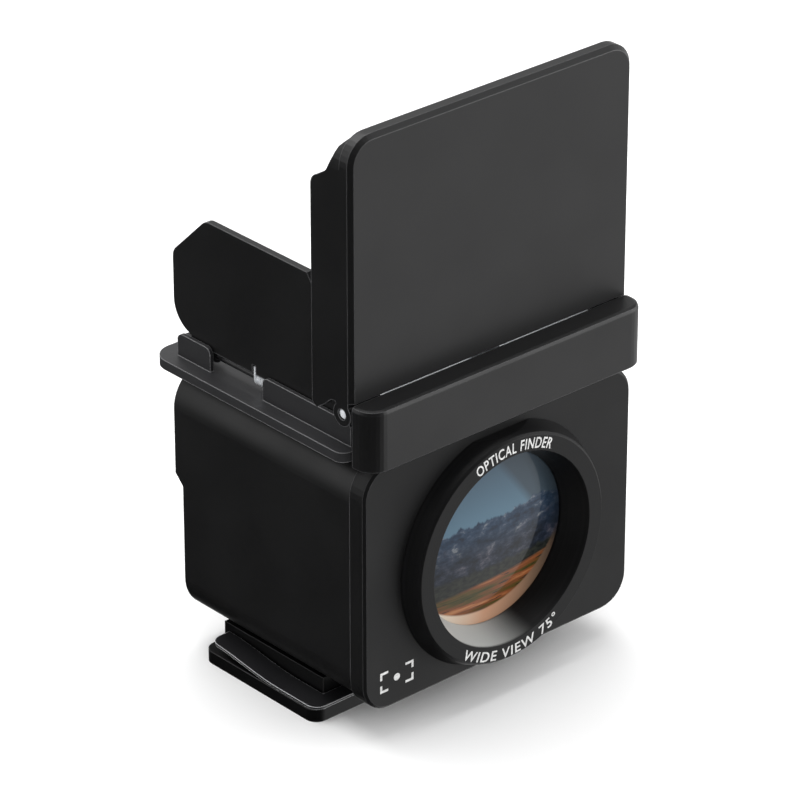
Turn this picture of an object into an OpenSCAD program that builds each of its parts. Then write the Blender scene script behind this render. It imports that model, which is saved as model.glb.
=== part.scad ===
// Waist-level reflex finder for a camera's accessory shoe, with a folding hood.
// Millimetres. +Z is up, the lens looks towards -Y, and +X is the right-hand side seen from the front.
// The origin lies under the middle of the housing, on the bottom face of the shoe foot.

/* [Housing] */
// Width of the housing
body_w = 37.4; // [36:0.1:46]
// Height of the housing, without the hood tray
body_h = 28.75; // [28.2:0.05:36]
// Depth of the housing behind the front plate, along its lower part
body_d = 26.7; // [25.5:0.1:34]
// Radius of the housing's four long edges
body_r = 4.4; // [3:0.1:5]
// Thickness of the housing's side walls and floor
wall_t = 1.6; // [1.2:0.1:2.2]
// Thickness of the housing's roof
roof_t = 2.0; // [1.8:0.1:2.6]
// How far the upper rear part stands behind the lower rear part
rear_step = 1.2; // [0.6:0.1:2]
// Height of that step above the housing's bottom
rear_step_z = 15.5; // [12:0.5:18]
// Thickness of the rear cover
cover_t = 1.4; // [1:0.1:2]

/* [Front plate] */
// Thickness of the front plate
plate_t = 2.24; // [1.6:0.02:3]
// Radius of the front plate's corners
plate_r = 3.5; // [2.5:0.1:5]
// Bevel round the front plate's front edge
plate_bevel = 0.3; // [0.1:0.05:0.6]

/* [Optics] */
// Height of the optical axis above the housing's bottom
axis_h = 13.85; // [13.8:0.05:16]
// Outer radius of the lens ring's front face
ring_r = 13.0; // [12.2:0.1:13.4]
// How much wider the lens ring's foot is than its front face, on the radius
ring_flare = 0.76; // [0.2:0.02:0.8]
// How far the lens ring stands proud of the front plate
ring_proud = 2.04; // [1.4:0.02:3]
// Radius of the mouth of the lens ring's inner cone
mouth_r = 11.0; // [10.6:0.1:11.6]
// Radius of the clear opening in front of the objective lens
glass_r = 9.78; // [9:0.02:10]
// Depth of the inner cone
cone_d = 3.1; // [2.4:0.1:4]
// Thickness of the objective lens at its middle
lens_t = 2.6; // [2.2:0.1:3.4]
// Thickness of the objective lens at its edge
lens_edge = 1.2; // [0.8:0.1:1.6]
// Thickness of the mirror
mirror_t = 1.2; // [0.8:0.1:1.8]
// Width of the mirror
mirror_w = 23; // [20:0.5:24]
// Length of the mirror along its slope
mirror_l = 29; // [24:0.5:29]
// Width of the viewing lens, across the finder
eye_w = 26; // [22:0.5:26.5]
// Depth of the viewing lens, along the finder
eye_d = 22; // [18:0.5:22.5]
// Thickness of the viewing lens's flange
eye_flange_t = 1.0; // [0.8:0.1:1.2]
// Width of the picture opening in the frame mask
frame_w = 20; // [14:0.5:20.5]
// Depth of the picture opening in the frame mask
frame_d = 14; // [10:0.5:17]

/* [Hood] */
// Width of the hood: tray, brow and lid
hood_w = 38.4; // [37:0.1:48]
// Length of the tray, from the brow's rear face to its rear edge
tray_l = 32.1; // [31.7:0.1:38]
// Thickness of the tray
tray_t = 1.1; // [0.9:0.1:1.6]
// Radius of the tray's rear corners
tray_r = 2.5; // [1.5:0.1:3]
// Width of the ledge outside the tray's rails
ledge_w = 1.85; // [1.7:0.05:2.4]
// Height of the rails above the tray
rail_h = 2.65; // [2.4:0.05:3.2]
// Thickness of the rails' outer walls
rail_t = 0.45; // [0.4:0.05:0.7]
// Length of the notch that shows each panel's spring
notch_l = 8.4; // [6:0.2:10]
// Depth of the brow bar from front to rear
brow_d = 2.86; // [2.4:0.02:4]
// Height of the brow bar
brow_h = 6.95; // [6.6:0.05:8]
// Radius of the brow bar's upright front edges
brow_r = 2.2; // [1:0.1:2.4]
// Height of the lid above its lower edge
lid_h = 28.8; // [26:0.1:29]
// Thickness of the lid
lid_t = 1.63; // [1.4:0.01:2]
// Depth of the recess in the lid's inner face
lid_recess = 0.9; // [0.8:0.05:1]
// Radius of the lid's upper corners
lid_r = 3.0; // [1.5:0.1:4]
// Bevel round the lid's front edge
lid_bevel = 0.5; // [0.2:0.05:0.6]
// Thickness of the lid's side flanges
flange_t = 1.2; // [0.9:0.05:1.3]
// Height of the side panels above their hinge axis
panel_h = 15.4; // [12:0.1:15.6]
// Thickness of the side panels
panel_t = 0.8; // [0.6:0.05:0.9]

/* [Hinges] */
// Radius of the lid's hinge rod
lid_rod_r = 0.55; // [0.45:0.05:0.7]
// Height of the lid's hinge axis above the tray
lid_axis_h = 4.65; // [4.6:0.05:5.2]
// Radius of the side panels' hinge rods
panel_rod_r = 0.4; // [0.3:0.05:0.5]
// Height of the side panels' hinge axes above the tray
panel_axis_h = 1.35; // [1.3:0.05:1.5]
// Radial clearance of a rod that turns in its bore
run_gap = 0.04; // [0.02:0.01:0.08]
// Gap between pieces that move past each other
move_gap = 0.15; // [0.1:0.01:0.2]
// Wire radius of the hinge springs
wire_r = 0.14; // [0.1:0.01:0.16]

/* [Shoe foot] */
// Width of the foot across the shoe
foot_w = 18.6; // [18.2:0.1:18.6]
// Length of the foot
foot_l = 18.2; // [16:0.1:19]
// Thickness of the foot
foot_t = 1.45; // [1.3:0.05:2]
// Gap between the foot and the housing
neck_h = 2.05; // [1.6:0.05:2.6]
// Width of the neck
neck_w = 12.5; // [11:0.1:12.6]
// How far the foot's middle lies to the left of the housing's middle
foot_shift = 10.3; // [4:0.1:10.6]
// Thickness of the leaf spring on the foot
leaf_t = 0.3; // [0.2:0.05:0.4]
// How far the leaf spring rises at its free ends
leaf_rise = 0.95; // [0.4:0.05:1.1]

/* [Screws] */
// Thread radius of the small screws
screw_r = 0.6; // [0.5:0.05:0.7]
// Head radius of the small screws
head_r = 1.1; // [1:0.05:1.2]
// Height of the small screws' countersunk heads
head_h = 0.6; // [0.5:0.05:0.7]
// Thread radius of the shoe's screws
foot_screw_r = 0.9; // [0.7:0.05:1]
// Head radius of the shoe's screws
foot_head_r = 1.7; // [1.4:0.05:1.8]

/* [Hidden] */
$fn = 64;

eps = 0.01;
hull_fn = 32;
fit_gap = 0.05;             // between pieces that are fitted together and don't move
thread_gap = 0.02;          // between a screw's thread and its hole
sink = 0.06;                // how far a countersunk head lies under the face around it

// heights
body_z = foot_t + neck_h;
body_top = body_z + body_h;
axis_z = body_z + axis_h;
tray_z = body_top;
ledge_z = tray_z + tray_t;
rail_top = ledge_z + rail_h;
panel_axis_z = ledge_z + panel_axis_h;
lid_axis_z = ledge_z + lid_axis_h;

// places along the finder: the housing's own middle, halfway along its lower part, lies at y = 0.05
body_y0 = -(body_d - 0.1) / 2;
lower_rear_y = body_y0 + body_d;
upper_rear_y = lower_rear_y + rear_step;
plate_y = body_y0 - plate_t;
brow_rear_y = body_y0 - 1;
brow_y = brow_rear_y - brow_d;
tray_y0 = brow_rear_y;
tray_y1 = tray_y0 + tray_l;
body_cx = 0;

// optics
cavity_w = body_w - 2 * wall_t;
front_wall_y = body_y0 + wall_t;
barrel_wall = 1.1;
lens_r = glass_r + 0.5;
barrel_r = lens_r + fit_gap + barrel_wall;
ring_y = plate_y - ring_proud;
seat_y = ring_y + cone_d;
lens_bulge = lens_t - lens_edge;
retainer_t = 1.2;
barrel_end_y = seat_y + lens_edge + retainer_t + 0.6;
ring_flat_h = ring_r + 0.2; // the ring's foot is cut flat this far above the axis, under the brow
eye_y = 0.5;                // middle of the mirror and the viewing lens
mask_t = 0.3;
eye_lip = 1.0;              // width of the viewing lens's flange, held under the tray
dome_r = 70;
eye_top = ledge_z + 0.35;
seat_z = body_top - eye_flange_t - mask_t;

// hinge of the lid
lid_bottom = lid_axis_z + 1.45;
lid_top = lid_bottom + lid_h;
lid_face_y = brow_rear_y + 0.1;
lid_axis_y = lid_face_y + 1.4;
lid_back_y = lid_face_y + lid_t;
ear_r = 1.3;
lug_r = 1.15;
lug_w = 3.2;
lug_x = hood_w / 2 - flange_t - move_gap - lug_w;
flange_end_y = lid_axis_y + lid_axis_h - 0.1;
flange_top_z = lid_bottom + 0.78 * lid_h;

// hinges of the side panels
rail_x = hood_w / 2 - ledge_w;
knuckle_r = 0.8;
panel_axis_x = rail_x - rail_t - move_gap - knuckle_r;
panel_face_x = rail_x - rail_t - move_gap;
rail_y0 = lid_axis_y + 0.8;
rail_y1 = tray_y1 - 2.4;
lug_l = 1.4;
notch_y0 = rail_y0 + 13.7;
notch_y1 = notch_y0 + notch_l;
panel_y0 = rail_y0 + lug_l + move_gap;
panel_y1 = rail_y1 - lug_l - move_gap;
panel_rear_y = rail_y1 + 1.2;
panel_top = panel_axis_z + panel_h;
spring_turns = 5;
spring_pitch = 2 * wire_r + 0.08;
spring_r = panel_rod_r + wire_r + 0.1;
spring_leg = 1.5;
spring_y0 = notch_y0 + 0.15;
spring_leg_y = spring_y0 + spring_pitch * (spring_turns + 0.25);

// shoe foot
foot_x = -foot_shift;
foot_y = 0.4;
neck_front_y = foot_y - foot_l / 2 + 2.2;
neck_rear_y = foot_y + foot_l / 2;

// shared shapes

// rectangle with exact round corners, centred
module round_rect(w, h, r) {
    square([w - 2 * r, h], center = true);
    square([w, h - 2 * r], center = true);
    for (sx = [-1, 1], sy = [-1, 1])
        translate([sx * (w / 2 - r), sy * (h / 2 - r)])
            circle(r);
}

// carries a shape drawn in X and Z to a slab that runs from y0 to y1
module slab_y(y0, y1) {
    translate([0, y1, 0])
        rotate([90, 0, 0])
            linear_extrude(y1 - y0)
                children();
}

// carries a shape drawn in Y and Z to a slab that runs from x0 to x1
module slab_x(x0, x1) {
    translate([x0, 0, 0])
        rotate([90, 0, 90])
            linear_extrude(x1 - x0)
                children();
}

// cylinder along Y
module rod_y(r, y0, y1) {
    translate([0, y1, 0])
        rotate([90, 0, 0])
            cylinder(h = y1 - y0, r = r);
}

// cylinder along X
module rod_x(r, x0, x1) {
    translate([x0, 0, 0])
        rotate([0, 90, 0])
            cylinder(h = x1 - x0, r = r);
}

// countersunk screw with its head's flat face just under z = 0 and its thread hanging down, cross recess in the head
module flat_screw(thread, head, head_height, length) {
    translate([0, 0, -sink])
        difference() {
            union() {
                translate([0, 0, -head_height])
                    cylinder(h = head_height, r1 = thread, r2 = head);
                translate([0, 0, -length])
                    cylinder(h = length - head_height + eps, r = thread);
            }
            for (a = [0, 90])
                rotate([0, 0, a])
                    cube([head * 1.1, head * 0.28, head_height * 1.1], center = true);
        }
}

// the hole that takes such a screw
module screw_hole(thread, head, head_height, length) {
    translate([0, 0, -sink]) {
        translate([0, 0, -head_height])
            cylinder(h = head_height, r1 = thread + fit_gap, r2 = head + fit_gap);
        translate([0, 0, -eps])
            cylinder(h = 1, r = head + fit_gap);
        translate([0, 0, -length])
            cylinder(h = length, r = thread + thread_gap);
    }
}

// wire swept through centres[i], each ring of points lying between the normals side[i] and across[i]
module wire(centres, side, across, r, sides = 8) {
    n = len(centres);
    points = [for (i = [0 : n - 1], k = [0 : sides - 1])
        centres[i] + r * (cos(360 * k / sides) * side[i] + sin(360 * k / sides) * across[i])];
    walls = [for (i = [0 : n - 2], k = [0 : sides - 1])
        [i * sides + k, (i + 1) * sides + k,
         (i + 1) * sides + (k + 1) % sides, i * sides + (k + 1) % sides]];
    start = [for (k = [0 : sides - 1]) k];
    end = [for (k = [sides - 1 : -1 : 0]) (n - 1) * sides + k];
    polyhedron(points, concat(walls, [start, end]));
}

// torsion spring along +Z: turns of wire at radius r and the given pitch, with a straight leg at each end.
// a0 is the angle at which the lower leg leaves, a1 the angle at which the upper one does.
module torsion_spring(r, wire_radius, turns, pitch, a0, a1, leg0, leg1) {
    steps = 14;
    sweep = 360 * turns + a1 - a0;
    n = round(steps * sweep / 360);
    angles = [for (i = [0 : n]) a0 + sweep * i / n];
    coil = [for (i = [0 : n]) [r * cos(angles[i]), r * sin(angles[i]), pitch * (angles[i] - a0) / 360]];
    radial = [for (a = angles) [cos(a), sin(a), 0]];
    first = coil[0] - leg0 * [-sin(a0), cos(a0), 0];
    last = coil[n] + leg1 * [-sin(angles[n]), cos(angles[n]), 0];
    centres = concat([first], coil, [last]);
    side = concat([radial[0]], radial, [radial[n]]);
    across = [for (s = side) [0, 0, 1]];
    wire(centres, side, across, wire_radius);
}

// housing

// outline of the housing's section across the finder
module housing_section(inset = 0) {
    translate([body_cx, body_z + body_h / 2])
        round_rect(body_w - 2 * inset, body_h - 2 * inset, body_r - inset);
}

// side view of the housing, with the step in its rear
module housing_profile(inset = 0) {
    z_step = body_z + rear_step_z;
    polygon([
        [body_y0, body_z - 1], [lower_rear_y - inset, body_z - 1],
        [lower_rear_y - inset, z_step - inset], [upper_rear_y - inset, z_step + rear_step - inset],
        [upper_rear_y - inset, body_top + 1], [body_y0, body_top + 1]]);
}

module housing_solid(inset = 0) {
    intersection() {
        slab_y(body_y0, upper_rear_y)
            housing_section(inset);
        slab_x(-body_w, body_w)
            housing_profile();
    }
}

cover_x = cavity_w / 2 - 2.6;
cover_zs = [body_z + 4.4, body_top - 5.2];

// the rear cover's outline, grown by gap
module cover_section(gap = 0) {
    translate([body_cx, body_z + body_h / 2])
        round_rect(cavity_w - 0.4 + 2 * gap, body_h - 2 * wall_t - 0.8 + 2 * gap, body_r - wall_t + gap);
}

// where the four small screws through the tray stand
tray_screw_xy = [for (sx = [-1, 1], y = [eye_y - eye_d / 2 - 1.25, eye_y + eye_d / 2 + 1.1]) [sx * (eye_w / 2 + 0.7), y]];

// where the two screws under the mirror bracket stand
bracket_screw_xy = [for (y = [-5, 5]) [foot_x + foot_w / 2 + 7.5, y]];

// where the four screws of the shoe foot stand
foot_screw_xy = [for (sx = [-1, 1], y = [neck_front_y + 2.6, neck_rear_y - 2.6]) [foot_x + sx * 3.6, y]];
foot_head_h = 0.9;
foot_screw_l = body_z + wall_t - 0.1;

module body_shell() {
    color([0.10, 0.10, 0.11])
    difference() {
        housing_solid();
        // inner chamber, open to the rear
        slab_y(front_wall_y, upper_rear_y + 1)
            intersection() {
                housing_section(wall_t);
                translate([-body_w, body_z])
                    square([2 * body_w, body_h - roof_t]);
            }
        // bore for the lens ring's barrel
        translate([body_cx, 0, axis_z])
            rod_y(barrel_r + fit_gap, body_y0 - 1, front_wall_y + 1);
        // window under the viewing lens, and the pocket for the lens and its mask
        translate([0, eye_y, body_top - roof_t - 1])
            linear_extrude(roof_t + 2)
                round_rect(eye_w - 3, eye_d - 3, 1);
        translate([0, eye_y, seat_z - fit_gap])
            linear_extrude(roof_t + 2)
                round_rect(eye_w + 2 * fit_gap, eye_d + 2 * fit_gap, 1.2);
        // holes for the screws that hold the tray
        for (p = tray_screw_xy)
            translate([p[0], p[1], body_top - roof_t - 1])
                cylinder(h = roof_t + 2, r = screw_r + thread_gap);
        // holes for the shoe's screws and the bracket's screws
        for (p = foot_screw_xy)
            translate([p[0], p[1], body_z - 1])
                cylinder(h = wall_t + 2, r = foot_screw_r + thread_gap);
        for (p = bracket_screw_xy)
            translate([p[0], p[1], body_z])
                mirror([0, 0, 1])
                    screw_hole(screw_r, head_r, head_h, wall_t + 2);
        // holes for the dowels that keep the front plate upright
        for (sx = [-1, 1])
            translate([sx * dowel_x, 0, dowel_z])
                rod_y(dowel_r + fit_gap, body_y0 - 1, body_y0 + 1);
    }
    // corner bosses behind the rear cover
    color([0.10, 0.10, 0.11])
    for (sx = [-1, 1], z = cover_zs)
        difference() {
            intersection() {
                slab_y(lower_rear_y - cover_t - 3, lower_rear_y - cover_t - fit_gap)
                    housing_section(wall_t - eps);
                translate([sx * (cover_x + 4), 0, z])
                    cube([11, 100, 5.4], center = true);
            }
            translate([sx * cover_x, 0, z])
                rod_y(screw_r + thread_gap, lower_rear_y - cover_t - 4, lower_rear_y);
        }
}

module rear_cover() {
    color([0.10, 0.10, 0.11])
    difference() {
        intersection() {
            slab_y(lower_rear_y - cover_t, upper_rear_y)
                cover_section(-fit_gap);
            slab_x(-body_w, body_w)
                housing_profile();
        }
        for (sx = [-1, 1], i = [0, 1])
            translate([sx * cover_x, cover_face_y(i), cover_zs[i]])
                rotate([-90, 0, 0])
                    screw_hole(screw_r, head_r, head_h, 8);
    }
}

// rear face of the cover at its lower (0) and upper (1) screws
function cover_face_y(i) = lower_rear_y + i * rear_step;

module cover_screws() {
    color([0.35, 0.35, 0.37])
    for (sx = [-1, 1], i = [0, 1])
        translate([sx * cover_x, cover_face_y(i), cover_zs[i]])
            rotate([-90, 0, 0])
                flat_screw(screw_r, head_r, head_h, 3 + i * rear_step);
}

dowel_r = 0.8;
dowel_x = body_w / 2 - 3.4;
dowel_z = body_z + 3.6;

module front_plate() {
    plate_h = body_h - 0.15;
    color([0.10, 0.10, 0.11])
    difference() {
        hull() {
            slab_y(plate_y + plate_bevel, body_y0)
                translate([body_cx, body_z + plate_h / 2])
                    round_rect(body_w, plate_h, plate_r, $fn = hull_fn);
            slab_y(plate_y, plate_y + plate_bevel)
                translate([body_cx, body_z + plate_h / 2])
                    round_rect(body_w - 2 * plate_bevel, plate_h - 2 * plate_bevel,
                        plate_r - plate_bevel, $fn = hull_fn);
        }
        translate([body_cx, 0, axis_z])
            rod_y(barrel_r + fit_gap, plate_y - 1, body_y0 + 1);
        for (sx = [-1, 1])
            translate([sx * dowel_x, 0, dowel_z])
                rod_y(dowel_r + fit_gap, plate_y + 1.1, body_y0 + 1);
    }
}

module plate_dowels() {
    color([0.75, 0.75, 0.76])
    for (sx = [-1, 1])
        translate([sx * dowel_x, 0, dowel_z])
            rod_y(dowel_r, plate_y + 1.2, body_y0 + 0.9);
}

// optics

// turns a half-section drawn as [radius, distance behind the ring's front face] about the optical axis
module turned() {
    translate([body_cx, ring_y, axis_z])
        rotate([-90, 0, 0])
            rotate_extrude($fn = 96)
                children();
}

module lens_ring() {
    foot = ring_proud;
    lip = 0.25;
    color([0.12, 0.12, 0.13])
    intersection() {
        turned()
            polygon([
                [mouth_r, 0], [ring_r - lip, 0], [ring_r, lip], [ring_r + ring_flare, foot],
                [barrel_r, foot], [barrel_r, barrel_end_y - ring_y], [lens_r + fit_gap, barrel_end_y - ring_y],
                [lens_r + fit_gap, cone_d + lip_t], [glass_r, cone_d + lip_t], [glass_r, cone_d]]);
        translate([-body_w, ring_y - 1, axis_z - ring_r - ring_flare])
            cube([2 * body_w, 40, ring_flat_h + ring_r + ring_flare]);
    }
}

// radius of the sphere whose cap has the given height over a circle of radius r
function cap_radius(r, bulge) = (r * r + bulge * bulge) / (2 * bulge);

// height of that cap at a distance d from its axis
function cap_height(r, bulge, d) =
    sqrt(cap_radius(r, bulge) ^ 2 - d * d) - cap_radius(r, bulge) + bulge;

lip_t = 0.25;               // lip of the lens ring that the objective lens bears on
front_bulge = lens_bulge * 0.6;
rear_bulge = lens_bulge - front_bulge;
retainer_w = 1.3;
lens_front = cone_d + lip_t + cap_height(lens_r, front_bulge, glass_r) + fit_gap / 2;
retainer_front = lens_front + lens_edge + cap_height(lens_r, rear_bulge, lens_r - retainer_w) + fit_gap / 2;

module objective_lens() {
    front = lens_front;
    r1 = cap_radius(lens_r, front_bulge);
    r2 = cap_radius(lens_r, rear_bulge);
    color([0.55, 0.70, 0.85, 0.5])
    turned()
        union() {
            translate([0, front])
                square([lens_r, lens_edge]);
            intersection() {
                translate([0, front - front_bulge + r1])
                    circle(r1, $fn = 256);
                translate([0, front - front_bulge])
                    square([lens_r, front_bulge + eps]);
            }
            intersection() {
                translate([0, front + lens_edge + rear_bulge - r2])
                    circle(r2, $fn = 256);
                translate([0, front + lens_edge - eps])
                    square([lens_r, rear_bulge + eps]);
            }
        }
}

module lens_retainer() {
    back = retainer_front;
    color([0.15, 0.15, 0.16])
    difference() {
        turned()
            translate([lens_r - retainer_w, back])
                square([retainer_w, retainer_t]);
        // two slots for the fitting tool
        translate([body_cx, ring_y + back + retainer_t, axis_z])
            cube([3 * lens_r, 1, 1.2], center = true);
    }
}

// carries a slab to the mirror's slope: its front face lies on the optical axis at 45 degrees
module on_slope() {
    translate([body_cx, eye_y, axis_z])
        rotate([45, 0, 0])
            children();
}

module mirror_glass(thickness, from_top, width, length) {
    translate([-width / 2, -length / 2, -from_top - thickness])
        cube([width, length, thickness]);
}

module mirror_plate() {
    color([0.80, 0.84, 0.88])
    on_slope()
        mirror_glass(mirror_t, 0, mirror_w, mirror_l);
}

module mirror_bracket() {
    base_z = body_z + wall_t;
    base_t = 1.0;
    plate = 1.0;
    half = (mirror_l - 1) / 2;
    slope_low = axis_z - half * sqrt(0.5);
    color([0.20, 0.20, 0.21])
    difference() {
        union() {
            on_slope()
                mirror_glass(plate, mirror_t, mirror_w, mirror_l - 1);
            translate([-mirror_w / 2, eye_y - 4.5, base_z])
                cube([mirror_w, 14, base_t]);
            for (sx = [-1, 1])
                translate([sx * (mirror_w / 2 - 0.5), 0, 0])
                    slab_x(-0.5, 0.5)
                        intersection() {
                            translate([eye_y - 4.5, base_z])
                                square([14, 30]);
                            translate([eye_y, axis_z])
                                rotate(45)
                                    translate([-half, -mirror_t - plate - 40])
                                        square([2 * half, 40 + plate / 2]);
                        }
        }
        for (p = bracket_screw_xy)
            translate([p[0], p[1], base_z - 1])
                cylinder(h = base_t + 2, r = screw_r + thread_gap);
    }
}

module bracket_screws() {
    color([0.35, 0.35, 0.37])
    for (p = bracket_screw_xy)
        translate([p[0], p[1], body_z])
            mirror([0, 0, 1])
                flat_screw(screw_r, head_r, head_h, wall_t + 0.8);
}

module frame_mask() {
    color([0.06, 0.06, 0.06])
    translate([0, eye_y, seat_z])
        linear_extrude(mask_t - fit_gap / 2)
            difference() {
                round_rect(eye_w, eye_d, 1.2);
                round_rect(frame_w, frame_d, 0.6);
            }
}

module viewing_lens() {
    base = seat_z + mask_t;
    dome_w = eye_w - 2 * eye_lip;
    dome_l = eye_d - 2 * eye_lip;
    color([0.75, 0.85, 0.90, 0.5])
    union() {
        translate([0, eye_y, base])
            linear_extrude(eye_flange_t - fit_gap)
                round_rect(eye_w, eye_d, 1.2);
        intersection() {
            translate([0, eye_y, eye_top - dome_r])
                sphere(dome_r, $fn = 256);
            translate([0, eye_y, base + eps])
                linear_extrude(10)
                    round_rect(dome_w, dome_l, 1);
        }
    }
}

// hood

module tray_outline() {
    difference() {
        union() {
            translate([-hood_w / 2, tray_y0 + 4])
                square([hood_w, tray_l - 4 - tray_r]);
            translate([-hood_w / 2 + tray_r, tray_y1 - tray_r - eps])
                square([hood_w - 2 * tray_r, tray_r + eps]);
            for (sx = [-1, 1])
                translate([sx * (hood_w / 2 - tray_r), tray_y1 - tray_r])
                    circle(tray_r);
            // the rim's rounded front ends stop short of the lid's ears
            translate([-hood_w / 2 + flange_t + 0.5, tray_y0])
                square([hood_w - 2 * flange_t - 1, 5]);
            for (sx = [-1, 1])
                translate([sx * (hood_w / 2 - 1.2), lid_axis_y + 1.2])
                    circle(1.2);
            translate([-hood_w / 2, lid_axis_y + 1.2])
                square([hood_w, 5]);
        }
        translate([0, eye_y])
            round_rect(eye_w - 2 * eye_lip + 2 * fit_gap, eye_d - 2 * eye_lip + 2 * fit_gap, 1);
    }
}

// the left rail with its two bearing lugs
module rail() {
    // outer wall, with rounded upper corners at its ends and at the notch
    slab_x(-rail_x, -rail_x + rail_t) {
        wall_piece(rail_y0, notch_y0);
        wall_piece(notch_y1, rail_y1);
    }
    // bearing lugs
    difference() {
        for (y = [rail_y0, rail_y1 - lug_l])
            slab_y(y, y + lug_l) {
                translate([-rail_x, ledge_z - eps])
                    square([rail_x - panel_axis_x + knuckle_r, panel_axis_h + eps]);
                translate([-panel_axis_x, panel_axis_z])
                    circle(knuckle_r);
                translate([-rail_x, ledge_z - eps])
                    square([rail_x - panel_axis_x, panel_axis_h + knuckle_r + eps]);
            }
        translate([-panel_axis_x, 0, panel_axis_z])
            rod_y(panel_rod_r + fit_gap, rail_y0 - 1, rail_y1 + 1);
    }
}

// side view of a stretch of rail wall from y0 to y1
module wall_piece(y0, y1) {
    r = 0.8;
    translate([y0, ledge_z - eps])
        square([y1 - y0, rail_h - r + eps]);
    translate([y0 + r, ledge_z])
        square([y1 - y0 - 2 * r, rail_h]);
    for (y = [y0 + r, y1 - r])
        translate([y, rail_top - r])
            circle(r);
}

// wall behind the brow that the brow is screwed to
stand_t = 1.0;
stand_w = 26;
stand_h = 2.7;
brow_screw_x = 8;
brow_screw_z = ledge_z + 1.35;

module hood_tray() {
    color([0.10, 0.10, 0.11])
    difference() {
        union() {
            translate([0, 0, tray_z])
                linear_extrude(tray_t)
                    tray_outline();
            rail();
            mirror([1, 0, 0])
                rail();
            translate([-stand_w / 2, tray_y0, ledge_z - eps])
                cube([stand_w, stand_t, stand_h]);
        }
        for (p = tray_screw_xy)
            translate([p[0], p[1], ledge_z])
                screw_hole(screw_r, head_r, head_h, 6);
        for (sx = [-1, 1])
            translate([sx * brow_screw_x, 0, brow_screw_z])
                rod_y(screw_r + thread_gap, tray_y0 - 1, tray_y0 + stand_t + 1);
    }
}

module tray_screws() {
    color([0.35, 0.35, 0.37])
    for (p = tray_screw_xy)
        translate([p[0], p[1], ledge_z])
            flat_screw(screw_r, head_r, head_h, tray_t + roof_t - 0.3);
}

module brow_bar() {
    brow_z = body_top + 0.2;
    brow_top = brow_z + brow_h;
    edge = 0.45;
    color([0.10, 0.10, 0.11])
    difference() {
        union() {
            hull() {
                translate([0, 0, brow_z + 0.15])
                    linear_extrude(brow_h - edge - 0.15)
                        brow_outline(0);
                translate([0, 0, brow_z])
                    linear_extrude(brow_h)
                        brow_outline(edge);
                translate([0, 0, brow_z])
                    linear_extrude(brow_h - 0.13)
                        brow_outline(0.13);
            }
            // hinge lugs behind the bar
            for (sx = [-1, 1])
                translate([sx * (lug_x + lug_w / 2), 0, 0]) {
                    translate([0, lid_axis_y, lid_axis_z])
                        rod_x(lug_r, -lug_w / 2, lug_w / 2);
                    translate([-lug_w / 2, brow_rear_y - eps, lid_axis_z - lug_r])
                        cube([lug_w, lid_axis_y - brow_rear_y, 2 * lug_r - 0.3]);
                }
        }
        translate([0, lid_axis_y, lid_axis_z])
            rod_x(lid_rod_r + fit_gap, -hood_w, hood_w);
        for (sx = [-1, 1])
            translate([sx * brow_screw_x, 0, brow_screw_z])
                rod_y(screw_r + thread_gap, brow_rear_y - 1.6, brow_rear_y + 1);
    }
}

// plan of the brow bar, its front edges drawn in by inset
module brow_outline(inset) {
    r = brow_r - inset;
    y0 = brow_y + inset;
    half = hood_w / 2 - inset;
    intersection() {
        union() {
            translate([-half, y0 + r])
                square([2 * half, brow_d]);
            translate([-half + r, y0])
                square([2 * (half - r), brow_d]);
            for (sx = [-1, 1])
                translate([sx * (half - r), y0 + r])
                    circle(r, $fn = hull_fn);
        }
        translate([-half, y0])
            square([2 * half, brow_rear_y - y0]);
    }
}

module brow_screws() {
    color([0.35, 0.35, 0.37])
    for (sx = [-1, 1])
        translate([sx * brow_screw_x, tray_y0 + stand_t, brow_screw_z]) {
            rod_y(screw_r, -stand_t - 1.4, 0);
            difference() {
                rod_y(head_r, 0, 0.55);
                for (a = [0, 90])
                    rotate([0, a, 0])
                        translate([0, 0.5, 0])
                            cube([head_r * 1.2, 0.5, head_r * 0.3], center = true);
            }
        }
}

// front view of the lid's plate, drawn in by inset: square below, rounded above
module lid_outline(inset) {
    half = hood_w / 2 - inset;
    r = lid_r - inset;
    translate([-half, lid_bottom])
        square([2 * half, lid_h - inset - r]);
    translate([-half + r, lid_bottom])
        square([2 * (half - r), lid_h - inset]);
    for (sx = [-1, 1])
        translate([sx * (half - r), lid_top - inset - r])
            circle(r, $fn = hull_fn);
}

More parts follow.
